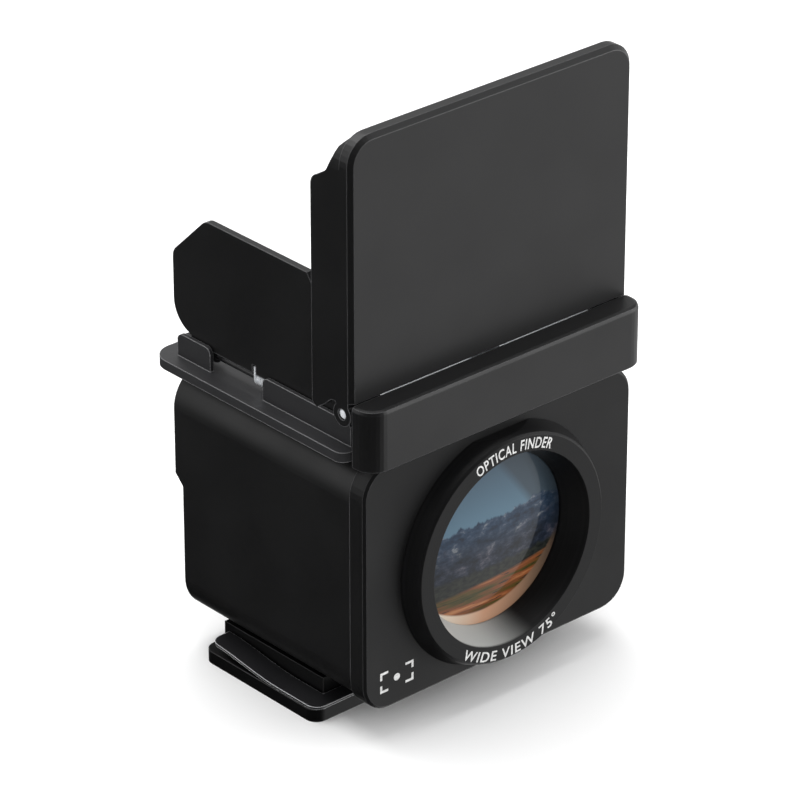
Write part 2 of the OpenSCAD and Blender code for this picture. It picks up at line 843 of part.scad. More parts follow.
// side view of the flanges: an ear round the hinge rod, a straight rear edge, and above it a web
// that leans forwards to the plate's upper edge
module flange_profile() {
    corner = 1.4;
    foot_r = 0.8;
    foot_z = lid_axis_z - 0.6;
    notch_y = lid_axis_y + ear_r + 0.45;
    web_y = flange_end_y - 2.15;
    web_z = flange_top_z + corner + 0.7;
    difference() {
        union() {
            translate([lid_back_y - 0.6, foot_z + foot_r])
                square([flange_end_y - lid_back_y + 0.6, flange_top_z - foot_z - foot_r]);
            translate([lid_back_y - 0.6, foot_z])
                square([flange_end_y - foot_r - lid_back_y + 0.6, 2 * foot_r]);
            translate([flange_end_y - foot_r, foot_z + foot_r])
                circle(foot_r);
            translate([flange_end_y - corner, flange_top_z])
                circle(corner);
            polygon([
                [lid_back_y - 0.6, flange_top_z - 1], [flange_end_y - corner, flange_top_z - 1],
                [flange_end_y - 0.72 * corner, flange_top_z + 0.96 * corner],
                [web_y, web_z], [web_y - 0.25, web_z + 0.25], [web_y - 1.1, web_z + 1.9],
                [web_y - 1.5, web_z + 3], [lid_back_y, lid_top - 0.4], [lid_back_y - 0.6, lid_top - 0.4]]);
        }
        // notch between the ear and the flange's foot, with a sloping upper edge
        polygon([
            [flange_end_y - foot_r, foot_z - 1], [flange_end_y - foot_r, foot_z],
            [lid_axis_y + 2 * ear_r, lid_axis_z + 0.2], [notch_y, lid_axis_z + 1],
            [notch_y - 0.4, lid_axis_z + 1.15], [lid_axis_y + 0.9, lid_axis_z + 1.1],
            [lid_axis_y + 0.9, foot_z - 1]]);
    }
    // ear, and the web that joins it to the plate
    translate([lid_axis_y, lid_axis_z])
        circle(ear_r);
    translate([lid_face_y + lid_bevel, lid_axis_z])
        square([lid_axis_y + ear_r - lid_face_y - lid_bevel - 0.35, lid_bottom - lid_axis_z + 1]);
}

// quarter circle of points in X and Z, from the side to the top, with the same steps as the lid's corners
function quarter(cx, cz, r) = [for (i = [0 : hull_fn / 4])
    [cx + r * cos(360 * i / hull_fn), cz + r * sin(360 * i / hull_fn)]];

// front view of the wall that the right flange is cut from: it follows the lid's outline round its upper corner
module flange_wall() {
    half = hood_w / 2;
    low = lid_axis_z - 3;
    inner_r = max(lid_r - flange_t, 0.3);
    inlay = 0.03;           // the rim's round corner lies this far inside the lid's
    outer = quarter(half - lid_r, lid_top - lid_r, lid_r - inlay);
    inner = quarter(half - flange_t - inner_r, lid_top - flange_t - inner_r, inner_r);
    inner_back = [for (i = [len(inner) - 1 : -1 : 0]) inner[i]];
    polygon(concat([[half, low], [half, lid_top - lid_r - 0.5]], outer, inner_back, [[half - flange_t, low]]));
}

module front_lid() {
    recess_x = hood_w / 2 - flange_t - 0.3;
    recess_low = lid_bottom + 0.9;
    recess_high = lid_top - 1.45;
    color([0.10, 0.10, 0.11])
    difference() {
        union() {
            hull() {
                slab_y(lid_face_y + lid_bevel, lid_back_y)
                    lid_outline(0);
                slab_y(lid_face_y, lid_back_y)
                    lid_outline(lid_bevel);
            }
            intersection() {
                slab_x(-hood_w / 2, hood_w / 2)
                    flange_profile();
                slab_y(lid_face_y, flange_end_y + 1) {
                    flange_wall();
                    mirror([1, 0, 0])
                        flange_wall();
                }
            }
        }
        // recess that the side panels' corners pass through
        slab_y(lid_back_y - lid_recess, lid_back_y + eps)
            translate([0, (recess_low + recess_high) / 2])
                round_rect(2 * recess_x, recess_high - recess_low, 1.5);
        // bore for the hinge rod
        translate([0, lid_axis_y, lid_axis_z])
            rod_x(lid_rod_r + run_gap, -hood_w, hood_w);
    }
}

module lid_rod() {
    half = hood_w / 2;
    dome_r = 1.5 * lid_rod_r;
    dome_h = dome_r - sqrt(dome_r * dome_r - lid_rod_r * lid_rod_r);
    color([0.80, 0.80, 0.81])
    translate([0, lid_axis_y, lid_axis_z])
        union() {
            rod_x(lid_rod_r, -half + dome_h, half - dome_h);
            // domed ends
            for (sx = [-1, 1])
                intersection() {
                    rod_x(lid_rod_r, -half, half);
                    translate([sx * (half - dome_r), 0, 0])
                        sphere(dome_r);
                    translate([sx * half, 0, 0])
                        cube([2 * dome_h + 2 * eps, 4, 4], center = true);
                }
        }
}

module lid_spring() {
    pitch = 2 * wire_r + 0.04;
    turns = 12;
    radius = lid_rod_r + wire_r + 0.12;
    color([0.80, 0.80, 0.81])
    translate([-turns * pitch / 2, lid_axis_y, lid_axis_z])
        rotate([0, 90, 0])
            torsion_spring(radius, wire_r, turns, pitch, 90, 90, 0.6, 0.6);
}

// side view of a side panel above its knuckles
module panel_profile() {
    chamfer = 4.9;
    r = 1.6;
    foot_r = 3.4;
    top_front_y = lid_axis_y + 8.1;
    low_front_z = panel_axis_z + 7.6;
    polygon([
        [panel_y0, panel_axis_z + 0.3], [panel_y0, low_front_z], [top_front_y, panel_top],
        [panel_rear_y - chamfer - r, panel_top],
        for (a = [90 : -7.5 : 45])
            [panel_rear_y - chamfer - r * 0.7 + r * cos(a), panel_top - r + r * sin(a)],
        for (a = [45 : -7.5 : 0])
            [panel_rear_y - r + r * cos(a), panel_top - chamfer - r * 0.6 + r * sin(a)],
        for (a = [0 : -7.5 : -75])
            [panel_rear_y - foot_r + foot_r * cos(a), rail_top + foot_r + 0.1 + foot_r * sin(a)],
        [rail_y1 - 0.9, rail_top + 0.08],
        [panel_y1, rail_top + 0.08], [panel_y1, panel_axis_z + 0.3]]);
}

module left_side_panel() {
    difference() {
        union() {
            slab_x(-panel_face_x, -panel_face_x + panel_t)
                panel_profile();
            translate([-panel_axis_x, 0, panel_axis_z]) {
                rod_y(knuckle_r, panel_y0, notch_y0 - 0.2);
                rod_y(knuckle_r, notch_y1 + 0.3, panel_y1);
            }
        }
        translate([-panel_axis_x, 0, panel_axis_z]) {
            rod_y(panel_rod_r + run_gap, panel_y0 - 1, panel_y1 + 1);
            // room for the spring, and a groove for the leg that bears on the panel
            rod_y(knuckle_r + 0.25, notch_y0 - 0.2, notch_y1 + 0.3);
            translate([-knuckle_r - 1, spring_leg_y - wire_r - 0.15, 0])
                cube([1 + knuckle_r - spring_r + wire_r + 0.1, 2 * wire_r + 0.3, spring_leg + 0.2]);
        }
    }
}

module left_panel() {
    color([0.10, 0.10, 0.11])
        left_side_panel();
}

module right_panel() {
    color([0.10, 0.10, 0.11])
    mirror([1, 0, 0])
        left_side_panel();
}

module left_rod() {
    translate([-panel_axis_x, 0, panel_axis_z])
        rod_y(panel_rod_r, rail_y0 + 0.05, rail_y1 - 0.05);
}

module left_panel_rod() {
    color([0.15, 0.15, 0.16])
        left_rod();
}

module right_panel_rod() {
    color([0.15, 0.15, 0.16])
    mirror([1, 0, 0])
        left_rod();
}

module left_spring() {
    translate([-panel_axis_x, spring_y0, panel_axis_z])
        rotate([-90, 0, 0])
            torsion_spring(spring_r, wire_r, spring_turns, spring_pitch, 90, 180, 0.3, spring_leg);
}

module left_panel_spring() {
    color([0.85, 0.85, 0.86])
        left_spring();
}

module right_panel_spring() {
    color([0.85, 0.85, 0.86])
    mirror([1, 0, 0])
        left_spring();
}

// shoe

module shoe_foot() {
    color([0.16, 0.16, 0.17])
    difference() {
        union() {
            translate([foot_x, foot_y, 0])
                linear_extrude(foot_t)
                    round_rect(foot_w, foot_l, 1.4);
            translate([foot_x - neck_w / 2, neck_front_y, foot_t - eps])
                cube([neck_w, neck_rear_y - neck_front_y, neck_h + eps - fit_gap / 5]);
        }
        for (p = foot_screw_xy)
            translate([p[0], p[1], 0])
                mirror([0, 0, 1])
                    screw_hole(foot_screw_r, foot_head_r, foot_head_h, 8);
    }
}

module shoe_spring() {
    arm_gap = 0.2;
    slot_w = neck_w + 2 * arm_gap;
    y0 = foot_y - foot_l / 2;
    y1 = foot_y + foot_l / 2;
    bend_y = y0 + 6;
    end_y = y1 - 1;
    n = 12;
    // height of the leaf's underside: flat in front, then half a cosine wave up to its free ends
    function rise(t) = leaf_rise * (1 - cos(180 * t)) / 2;
    lower = [for (i = [0 : n]) [bend_y + (end_y - bend_y) * i / n, foot_t + 0.02 + rise(i / n)]];
    upper = [for (i = [n : -1 : 0]) lower[i] + [0, leaf_t]];
    color([0.55, 0.55, 0.56])
    difference() {
        intersection() {
            slab_x(foot_x - foot_w / 2, foot_x + foot_w / 2)
                polygon(concat([[y0, foot_t + 0.02]], lower, upper, [[y0, foot_t + 0.02 + leaf_t]]));
            translate([foot_x, (y0 + end_y) / 2, 0])
                linear_extrude(body_z)
                    round_rect(foot_w - 0.2, end_y - y0, 1.4);
        }
        translate([foot_x - slot_w / 2, neck_front_y - arm_gap, 0])
            cube([slot_w, foot_l + 2, body_z]);
    }
}

module shoe_screws() {
    color([0.35, 0.35, 0.37])
    for (p = foot_screw_xy)
        translate([p[0], p[1], 0])
            mirror([0, 0, 1])
                flat_screw(foot_screw_r, foot_head_r, foot_head_h, foot_screw_l);
}

body_shell();
rear_cover();
cover_screws();
front_plate();
plate_dowels();
lens_ring();
objective_lens();
lens_retainer();
mirror_plate();  // mirror
mirror_bracket();
bracket_screws();
frame_mask();
viewing_lens();
hood_tray();
tray_screws();
brow_bar();
brow_screws();
front_lid();
lid_rod();
lid_spring();
left_panel();
right_panel();
left_panel_rod();
right_panel_rod();
left_panel_spring();
right_panel_spring();
shoe_foot();
shoe_spring();
shoe_screws();
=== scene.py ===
import math

import bmesh
import bpy
import numpy as np
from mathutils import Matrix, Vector


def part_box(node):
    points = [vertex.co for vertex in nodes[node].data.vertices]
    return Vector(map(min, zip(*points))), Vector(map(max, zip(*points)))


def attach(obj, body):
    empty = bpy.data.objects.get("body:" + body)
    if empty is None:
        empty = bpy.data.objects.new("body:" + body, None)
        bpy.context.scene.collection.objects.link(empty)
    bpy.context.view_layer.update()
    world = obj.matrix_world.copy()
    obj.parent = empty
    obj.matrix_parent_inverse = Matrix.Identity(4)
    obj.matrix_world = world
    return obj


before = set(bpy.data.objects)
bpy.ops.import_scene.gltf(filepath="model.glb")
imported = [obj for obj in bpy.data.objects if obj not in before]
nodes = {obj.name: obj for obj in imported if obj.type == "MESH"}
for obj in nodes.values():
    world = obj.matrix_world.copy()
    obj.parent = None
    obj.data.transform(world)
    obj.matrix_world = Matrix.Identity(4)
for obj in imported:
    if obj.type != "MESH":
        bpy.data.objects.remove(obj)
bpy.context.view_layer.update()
mm = 0.001
print("frame loaded:", len(nodes), "pieces")


def linearColour(hexText, alpha=1.0):
    # sRGB hex to linear: the low part is a straight line, the rest a 2.4 power
    parts = np.array([int(hexText[i:i + 2], 16) for i in (1, 3, 5)]) / 255
    linear = np.where(parts <= 0.04045, parts / 12.92, ((parts + 0.055) / 1.055) ** 2.4)
    return (*[float(v) for v in linear], alpha)


def addNode(tree, kind, settings=None, links=None):
    # adds one node, sets its properties, colour stops or unlinked sockets, and links sockets into it
    node = tree.nodes.new(kind)
    for name, value in (settings or {}).items():
        if name == "stops":
            for extra in value[2:]:
                node.color_ramp.elements.new(extra[0])
            for element, (position, colour) in zip(node.color_ramp.elements, value):
                element.position = position
                element.color = linearColour(colour)
        elif isinstance(name, str) and hasattr(node, name):
            setattr(node, name, value)
        else:
            node.inputs[name].default_value = value
    for name, source in (links or {}).items():
        tree.links.new(source, node.inputs[name])
    return node


def newMaterial(name, settings=None):
    material = bpy.data.materials.new(name)
    material.use_nodes = True
    tree = material.node_tree
    tree.nodes.clear()
    shader = addNode(tree, "ShaderNodeBsdfPrincipled", settings)
    addNode(tree, "ShaderNodeOutputMaterial", links={"Surface": shader.outputs["BSDF"]})
    place = addNode(tree, "ShaderNodeTexCoord").outputs["Object"]
    return material, tree, shader, place


def perMetre(sizeMm):
    return 1000 / sizeMm    # a noise texture's scale for a feature of this size


# dark finishes: tone, lighter tone at the edges (partly worn metal, partly a painted edge highlight), and the
# blasting's grain in mm
darkFinishes = {
    "housingBlack": {"name": "blasted black anodised aluminium", "colour": "#101011", "edge": "#5a5a5c",
                     "roughness": 0.46, "specular": 0.5, "grain": 0.16, "depth": 0.010, "rounding": 0.14},
    "plateBlack": {"name": "blasted black anodised aluminium plate", "colour": "#101011", "edge": "#5a5a5c",
                   "roughness": 0.50, "specular": 0.34, "grain": 0.16, "depth": 0.010, "rounding": 0.12},
    "hoodBlack": {"name": "fine black anodised aluminium", "colour": "#111112", "edge": "#666668",
                  "roughness": 0.44, "specular": 0.50, "grain": 0.14, "depth": 0.008, "rounding": 0.16},
    "trayBlack": {"name": "fine anodised aluminium sheet", "colour": "#29292b", "edge": "#8c8c8e",
                  "roughness": 0.42, "specular": 0.55, "grain": 0.14, "depth": 0.006, "rounding": 0.16},
    "footBlack": {"name": "black oxide steel", "colour": "#080809", "edge": "#4a4a4a",
                  "roughness": 0.38, "specular": 0.25, "grain": 0.2, "depth": 0.008, "rounding": 0.12},
    "screwBlack": {"name": "blackened screw steel", "colour": "#1c1c1e", "edge": "#5c5c5c",
                   "roughness": 0.32, "specular": 0.5, "grain": 0.2, "depth": 0.006, "rounding": 0.05},
    "insideBlack": {"name": "flat black lacquer", "colour": "#0b0b0b", "edge": "#161616",
                    "roughness": 0.8, "specular": 0.3, "grain": 0.2, "depth": 0.020, "rounding": 0.10},
    "leafSteel": {"name": "blued spring steel", "colour": "#1d1d1f", "edge": "#e4e6e8",
                  "roughness": 0.34, "specular": 0.6, "grain": 0.2, "depth": 0.006, "rounding": 0.16},
}


def blackMetal(look):
    # a dark, finely blasted metal: even tone, faint grain, edges lighter, partly worn where the finish is thin and
    # partly a painted highlight
    material, tree, shader, place = newMaterial(look["name"], {"Specular IOR Level": look["specular"]})
    grain = addNode(tree, "ShaderNodeTexNoise",
                    {"Scale": perMetre(look["grain"]), "Detail": 3.0, "Roughness": 0.6}, {"Vector": place})
    cloud = addNode(tree, "ShaderNodeTexNoise", {"Scale": perMetre(9), "Detail": 2.0}, {"Vector": place})
    # how far the softened normal leans away from the face's own marks the edges
    soft = addNode(tree, "ShaderNodeBevel", {"samples": 6, "Radius": look["rounding"] * mm})
    face = addNode(tree, "ShaderNodeNewGeometry")
    lean = addNode(tree, "ShaderNodeVectorMath", {"operation": "DOT_PRODUCT"},
                   {0: soft.outputs["Normal"], 1: face.outputs["Normal"]})
    edge = addNode(tree, "ShaderNodeMapRange", {"From Min": 0.985, "From Max": 0.84}, {"Value": lean.outputs["Value"]})
    speck = addNode(tree, "ShaderNodeMapRange", {"From Min": 0.3, "From Max": 0.7}, {"Value": grain.outputs["Fac"]})
    tone = np.array(linearColour(look["colour"]))
    tones = addNode(tree, "ShaderNodeMix",
                    {"data_type": "RGBA", 6: tone * (0.82, 0.82, 0.82, 1), 7: tone * (1.18, 1.18, 1.18, 1)},
                    {0: speck.outputs["Result"]})
    # painted highlight and wear: the edges are mixed towards the lighter edge tone
    edgeWearAndHighlight = addNode(tree, "ShaderNodeMix", {"data_type": "RGBA", 7: linearColour(look["edge"])},
                   {0: edge.outputs["Result"], 6: tones.outputs[2]})
    sheen = addNode(tree, "ShaderNodeMapRange",
                    {"From Min": 0.35, "From Max": 0.65,
                     "To Min": look["roughness"] - 0.04, "To Max": look["roughness"] + 0.04},
                    {"Value": cloud.outputs["Fac"]})
    bump = addNode(tree, "ShaderNodeBump", {"Strength": 0.35, "Distance": look["depth"] * mm},
                   {"Height": grain.outputs["Fac"], "Normal": soft.outputs["Normal"]})
    tree.links.new(edgeWearAndHighlight.outputs[2], shader.inputs["Base Color"])
    tree.links.new(sheen.outputs["Result"], shader.inputs["Roughness"])
    tree.links.new(bump.outputs["Normal"], shader.inputs["Normal"])
    return material


lensLow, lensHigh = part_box("objective_lens")
lensCentre = (lensLow + lensHigh) / 2
lensRadius = (lensHigh.x - lensLow.x) / 2
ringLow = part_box("lens_ring")[0]

# the lens ring's finish; its last two entries paint a highlight, a light grey patch on the lower left of the conical
# mouth
turnedRing = {"name": "turned black anodised aluminium", "colour": "#0e0e0f", "groove": "#141415",
              "roughness": 0.44, "specular": 0.24, "pitch": 0.12, "rounding": 0.1,
              "mouth": 10.96, "polished": "#b9bbb9", "paintedHighlightSide": (-0.62, 0, -0.785)}


def turnedMetal(look):
    # anodised aluminium turned on a lathe: very fine rings round the lens axis give a spun sheen,
    # and a painted highlight lightens the conical mouth on its lower left
    material, tree, shader, place = newMaterial(
        look["name"], {"Roughness": look["roughness"], "Specular IOR Level": look["specular"]})
    centred = addNode(tree, "ShaderNodeMapping", {"Location": (-lensCentre.x, 0, -lensCentre.z)}, {"Vector": place})
    flat = addNode(tree, "ShaderNodeVectorMath", {"operation": "MULTIPLY", 1: (1, 0, 1)},
                   {0: centred.outputs["Vector"]})
    radius = addNode(tree, "ShaderNodeVectorMath", {"operation": "LENGTH"}, {0: flat.outputs["Vector"]})
    rings = addNode(tree, "ShaderNodeTexNoise",
                    {"noise_dimensions": "1D", "Scale": perMetre(look["pitch"]), "Detail": 2.0},
                    {"W": radius.outputs["Value"]})
    grain = addNode(tree, "ShaderNodeTexNoise", {"Scale": perMetre(0.2), "Detail": 2.0}, {"Vector": place})
    height = addNode(tree, "ShaderNodeMath", {"operation": "ADD"}, {0: rings.outputs["Fac"], 1: grain.outputs["Fac"]})
    soft = addNode(tree, "ShaderNodeBevel", {"samples": 6, "Radius": look["rounding"] * mm})
    bump = addNode(tree, "ShaderNodeBump", {"Strength": 0.25, "Distance": 0.012 * mm},
                   {"Height": height.outputs["Value"], "Normal": soft.outputs["Normal"]})
    tone = addNode(tree, "ShaderNodeValToRGB", {"stops": [(0.3, look["colour"]), (0.7, look["groove"])]},
                   {0: rings.outputs["Fac"]})
    # painted highlight: inside the mouth, the side facing lower left is mixed towards light grey
    inMouth = addNode(tree, "ShaderNodeMapRange",
                      {"From Min": (look["mouth"] + 0.04) * mm, "From Max": (look["mouth"] - 0.06) * mm},
                      {"Value": radius.outputs["Value"]})
    side = addNode(tree, "ShaderNodeVectorMath", {"operation": "NORMALIZE"}, {0: flat.outputs["Vector"]})
    slant = addNode(tree, "ShaderNodeVectorMath", {"operation": "DOT_PRODUCT", 1: look["paintedHighlightSide"]},
                    {0: side.outputs["Vector"]})
    caught = addNode(tree, "ShaderNodeMapRange",
                     {"interpolation_type": "SMOOTHSTEP", "From Min": 0.55, "From Max": 1.0, "To Max": 0.8},
                     {"Value": slant.outputs["Value"]})
    bright = addNode(tree, "ShaderNodeMath", {"operation": "MULTIPLY"},
                     {0: inMouth.outputs["Result"], 1: caught.outputs["Result"]})
    cone = addNode(tree, "ShaderNodeMix", {"data_type": "RGBA", 7: linearColour(look["polished"])},
                   {0: bright.outputs["Value"], 6: tone.outputs["Color"]})
    tree.links.new(bump.outputs["Normal"], shader.inputs["Normal"])
    tree.links.new(cone.outputs[2], shader.inputs["Base Color"])
    return material


wireSteel = {"name": "drawn bright steel", "colour": "#dfe6ee", "scratch": "#ffffff", "metallic": 0.35,
             "roughness": 0.38, "grain": 0.1}


def brightSteel(look):
    # drawn steel: bright and a little blue, with a fine scratchy grain
    material, tree, shader, place = newMaterial(look["name"], {"Metallic": look["metallic"]})
    grain = addNode(tree, "ShaderNodeTexNoise", {"Scale": perMetre(look["grain"]), "Detail": 3.0}, {"Vector": place})
    tone = addNode(tree, "ShaderNodeValToRGB", {"stops": [(0.3, look["colour"]), (0.7, look["scratch"])]},
                   {0: grain.outputs["Fac"]})
    rough = addNode(tree, "ShaderNodeMapRange",
                    {"From Min": 0.3, "From Max": 0.7,
                     "To Min": look["roughness"] - 0.08, "To Max": look["roughness"] + 0.08},
                    {"Value": grain.outputs["Fac"]})
    bump = addNode(tree, "ShaderNodeBump", {"Strength": 0.2, "Distance": 0.006 * mm}, {"Height": grain.outputs["Fac"]})
    tree.links.new(tone.outputs["Color"], shader.inputs["Base Color"])
    tree.links.new(rough.outputs["Result"], shader.inputs["Roughness"])
    tree.links.new(bump.outputs["Normal"], shader.inputs["Normal"])
    return material


# the small picture in the lens, painted light standing in for the landscape seen in the glass, with a painted glow:
# heights and places are in lens radii, seen from the front
paintedLensView = {
    "ridge": 0.27, "ridgeSize": 0.22,               # height of the ridge line, and how far the peaks rise and fall
    "woods": -0.28,                                 # where the dark woods begin
    "fields": -0.438, "fieldSlope": 0.056,          # upper edge of the fields
    "rim": 1.18, "rimCentre": (-0.124, 0, 0.40),    # round lower edge of the picture
    "sky": [(0.2, "#455d6c"), (0.55, "#3d515f"), (0.95, "#35434f")],
    # painted shade for the sky's upper right corner
    "skyShade": "#2b333a",
    "rock": [(0.38, "#101a27"), (0.50, "#1b2b3d"), (0.58, "#323c4a"), (0.66, "#6b6f73"), (0.80, "#8b8d8e")],
    "slope": [(0.40, "#0d1117"), (0.52, "#1a202b"), (0.60, "#2f3039"), (0.70, "#55545a")],
    "wood": [(0.35, "#101213"), (0.65, "#22241f")],
    "field": [(0.34, "#22260f"), (0.42, "#3d3315"), (0.50, "#55321a"), (0.60, "#6b3d23"), (0.70, "#8a5c3a")],
    # the next entry paints the ring's pale wall reflected low in the glass
    "paintedWallReflection": [(0.15, "#b5ab9c"), (0.45, "#9b765e"), (0.8, "#5d4a3b"), (1.0, "#2a2521")],
    # the next entry is a painted shade, dark where the ring's wall shades the right-hand edge
    "wall": "#121416",
    # painted glow: the picture is also given off as light at this strength
    "glow": 0.45,
}


def coatedLens(name, view):
    # coated crown glass: a clear hard gloss over a painted, glowing picture of a landscape that stands in for the view
    # the lens gathers
    material, tree, shader, place = newMaterial(name, {
        "Roughness": 0.3, "Specular IOR Level": 0.15, "Coat Weight": 0.6, "Coat Roughness": 0.04,
        "Coat IOR": 1.42, "Emission Strength": view["glow"]})
    scale = 1 / lensRadius
    plan = addNode(tree, "ShaderNodeMapping",
                   {"Location": (-lensCentre.x * scale, 0, -lensCentre.z * scale), "Scale": (scale,) * 3},
                   {"Vector": place}).outputs["Vector"]
    split = addNode(tree, "ShaderNodeSeparateXYZ", links={0: plan})
    across, up = split.outputs["X"], split.outputs["Z"]
    flat = addNode(tree, "ShaderNodeVectorMath", {"operation": "MULTIPLY", 1: (1, 0, 1)}, {0: plan}).outputs[0]
    line = addNode(tree, "ShaderNodeVectorMath", {"operation": "MULTIPLY", 1: (1, 0, 0)}, {0: plan}).outputs[0]
    streak = addNode(tree, "ShaderNodeVectorMath", {"operation": "MULTIPLY", 1: (1, 0, 1.9)}, {0: plan}).outputs[0]
    bands = addNode(tree, "ShaderNodeVectorMath", {"operation": "MULTIPLY", 1: (0.55, 0, 6.5)}, {0: plan}).outputs[0]

    # noises: the peaks, the broken rock, the woods, the bands of the fields, the hedges and the tree tops
    peaks = addNode(tree, "ShaderNodeTexNoise", {"Scale": 2.6, "Detail": 6.0, "Roughness": 0.62}, {0: line})
    crags = addNode(tree, "ShaderNodeTexNoise", {"Scale": 5.0, "Detail": 8.0, "Roughness": 0.68}, {0: streak})
    gullies = addNode(tree, "ShaderNodeTexNoise", {"Scale": 4.2, "Detail": 8.0, "Roughness": 0.7}, {0: streak})
    trees = addNode(tree, "ShaderNodeTexNoise", {"Scale": 14.0, "Detail": 4.0}, {0: streak})
    crops = addNode(tree, "ShaderNodeTexNoise", {"Scale": 1.9, "Detail": 3.0, "Roughness": 0.55}, {0: bands})
    rows = addNode(tree, "ShaderNodeTexNoise", {"Scale": 6.0, "Detail": 2.0}, {0: bands})
    treeTops = addNode(tree, "ShaderNodeTexNoise", {"Scale": 9.0, "Detail": 3.0}, {0: line})

    sky = addNode(tree, "ShaderNodeValToRGB", {"stops": view["sky"]}, {0: up}).outputs[0]
    rock = addNode(tree, "ShaderNodeValToRGB", {"stops": view["rock"]}, {0: crags.outputs["Fac"]}).outputs[0]
    slope = addNode(tree, "ShaderNodeValToRGB", {"stops": view["slope"]}, {0: gullies.outputs["Fac"]}).outputs[0]
    wood = addNode(tree, "ShaderNodeValToRGB", {"stops": view["wood"]}, {0: trees.outputs["Fac"]}).outputs[0]
    field = addNode(tree, "ShaderNodeValToRGB", {"stops": view["field"]}, {0: crops.outputs["Fac"]}).outputs[0]

    # painted shade: the sky darkens towards the upper right
    corner = addNode(tree, "ShaderNodeVectorMath", {"operation": "DOT_PRODUCT", 1: (0.8, 0, 0.6)}, {0: plan})
    shaded = addNode(tree, "ShaderNodeMapRange", {"From Min": 0.52, "From Max": 0.62, "To Max": 0.8},
                     {"Value": corner.outputs["Value"]}).outputs[0]
    sky = addNode(tree, "ShaderNodeMix", {"data_type": "RGBA", 7: linearColour(view["skyShade"])},
                  {0: shaded, 6: sky}).outputs[2]

    # mountains: blue rock with snow above, brown gullies below
    ridge = addNode(tree, "ShaderNodeMath",
                    {"operation": "MULTIPLY_ADD", 1: view["ridgeSize"] * 2, 2: view["ridge"] - view["ridgeSize"]},
                    {0: peaks.outputs["Fac"]}).outputs[0]
    below = addNode(tree, "ShaderNodeMath", {"operation": "SUBTRACT"}, {0: ridge, 1: up}).outputs[0]
    deep = addNode(tree, "ShaderNodeMapRange", {"From Min": 0.08, "From Max": 0.40}, {"Value": below}).outputs[0]
    hill = addNode(tree, "ShaderNodeMapRange", {"From Min": -0.012, "From Max": 0.012}, {"Value": below}).outputs[0]
    mountain = addNode(tree, "ShaderNodeMix", {"data_type": "RGBA"}, {0: deep, 6: rock, 7: slope}).outputs[2]
    picture = addNode(tree, "ShaderNodeMix", {"data_type": "RGBA"}, {0: hill, 6: sky, 7: mountain}).outputs[2]

    # dark woods at the foot of the slopes, with an uneven upper edge
    treeLine = addNode(tree, "ShaderNodeMath", {"operation": "MULTIPLY_ADD", 1: 0.12, 2: view["woods"] - 0.06},
                       {0: treeTops.outputs["Fac"]}).outputs[0]
    inWoods = addNode(tree, "ShaderNodeMath", {"operation": "SUBTRACT"}, {0: treeLine, 1: up}).outputs[0]
    woods = addNode(tree, "ShaderNodeMapRange", {"From Min": -0.02, "From Max": 0.02}, {"Value": inWoods}).outputs[0]
    picture = addNode(tree, "ShaderNodeMix", {"data_type": "RGBA"}, {0: woods, 6: picture, 7: wood}).outputs[2]

    # fields in long bands of straw, earth and green, parted by hedges
    hedge = addNode(tree, "ShaderNodeMapRange", {"From Min": 0.61, "From Max": 0.65},
                    {"Value": rows.outputs["Fac"]}).outputs[0]
    field = addNode(tree, "ShaderNodeMix", {"data_type": "RGBA"}, {0: hedge, 6: field, 7: wood}).outputs[2]
    fieldLine = addNode(tree, "ShaderNodeMath",
                        {"operation": "MULTIPLY_ADD", 1: view["fieldSlope"], 2: view["fields"]},
                        {0: across}).outputs[0]
    inFields = addNode(tree, "ShaderNodeMath", {"operation": "SUBTRACT"}, {0: fieldLine, 1: up}).outputs[0]
    fields = addNode(tree, "ShaderNodeMapRange", {"From Min": -0.02, "From Max": 0.02}, {"Value": inFields}).outputs[0]
    picture = addNode(tree, "ShaderNodeMix", {"data_type": "RGBA"}, {0: fields, 6: picture, 7: field}).outputs[2]

    # painted reflection: outside the picture's round lower edge the glass shows the ring's pale wall
    fromRim = addNode(tree, "ShaderNodeVectorMath", {"operation": "DISTANCE", 1: view["rimCentre"]}, {0: flat})
    past = addNode(tree, "ShaderNodeMapRange", {"From Min": view["rim"] - 0.012, "From Max": view["rim"] + 0.012},
                   {"Value": fromRim.outputs["Value"]}).outputs[0]
    low = addNode(tree, "ShaderNodeMapRange", {"From Min": -0.15, "From Max": -0.35}, {"Value": up}).outputs[0]
    outside = addNode(tree, "ShaderNodeMath", {"operation": "MULTIPLY"}, {0: past, 1: low}).outputs[0]
    along = addNode(tree, "ShaderNodeMath", {"operation": "MULTIPLY_ADD", 1: 0.5, 2: 0.5}, {0: across}).outputs[0]
    paintedWallReflection = addNode(tree, "ShaderNodeValToRGB", {"stops": view["paintedWallReflection"]}, {0: along}).outputs[0]
    picture = addNode(tree, "ShaderNodeMix", {"data_type": "RGBA"}, {0: outside, 6: picture, 7: paintedWallReflection}).outputs[2]

    # painted shade: the ring's wall darkens the right-hand edge
    edge = addNode(tree, "ShaderNodeVectorMath", {"operation": "DOT_PRODUCT", 1: (1, 0, 0.35)}, {0: plan})
    dim = addNode(tree, "ShaderNodeMapRange", {"From Min": 0.70, "From Max": 1.02, "To Max": 0.75},
                  {"Value": edge.outputs["Value"]}).outputs[0]
    picture = addNode(tree, "ShaderNodeMix", {"data_type": "RGBA", 7: linearColour(view["wall"])},
                      {0: dim, 6: picture}).outputs[2]
    tree.links.new(picture, shader.inputs["Base Color"])
    # the same picture drives the emission, a painted glow
    tree.links.new(picture, shader.inputs["Emission Color"])
    return material


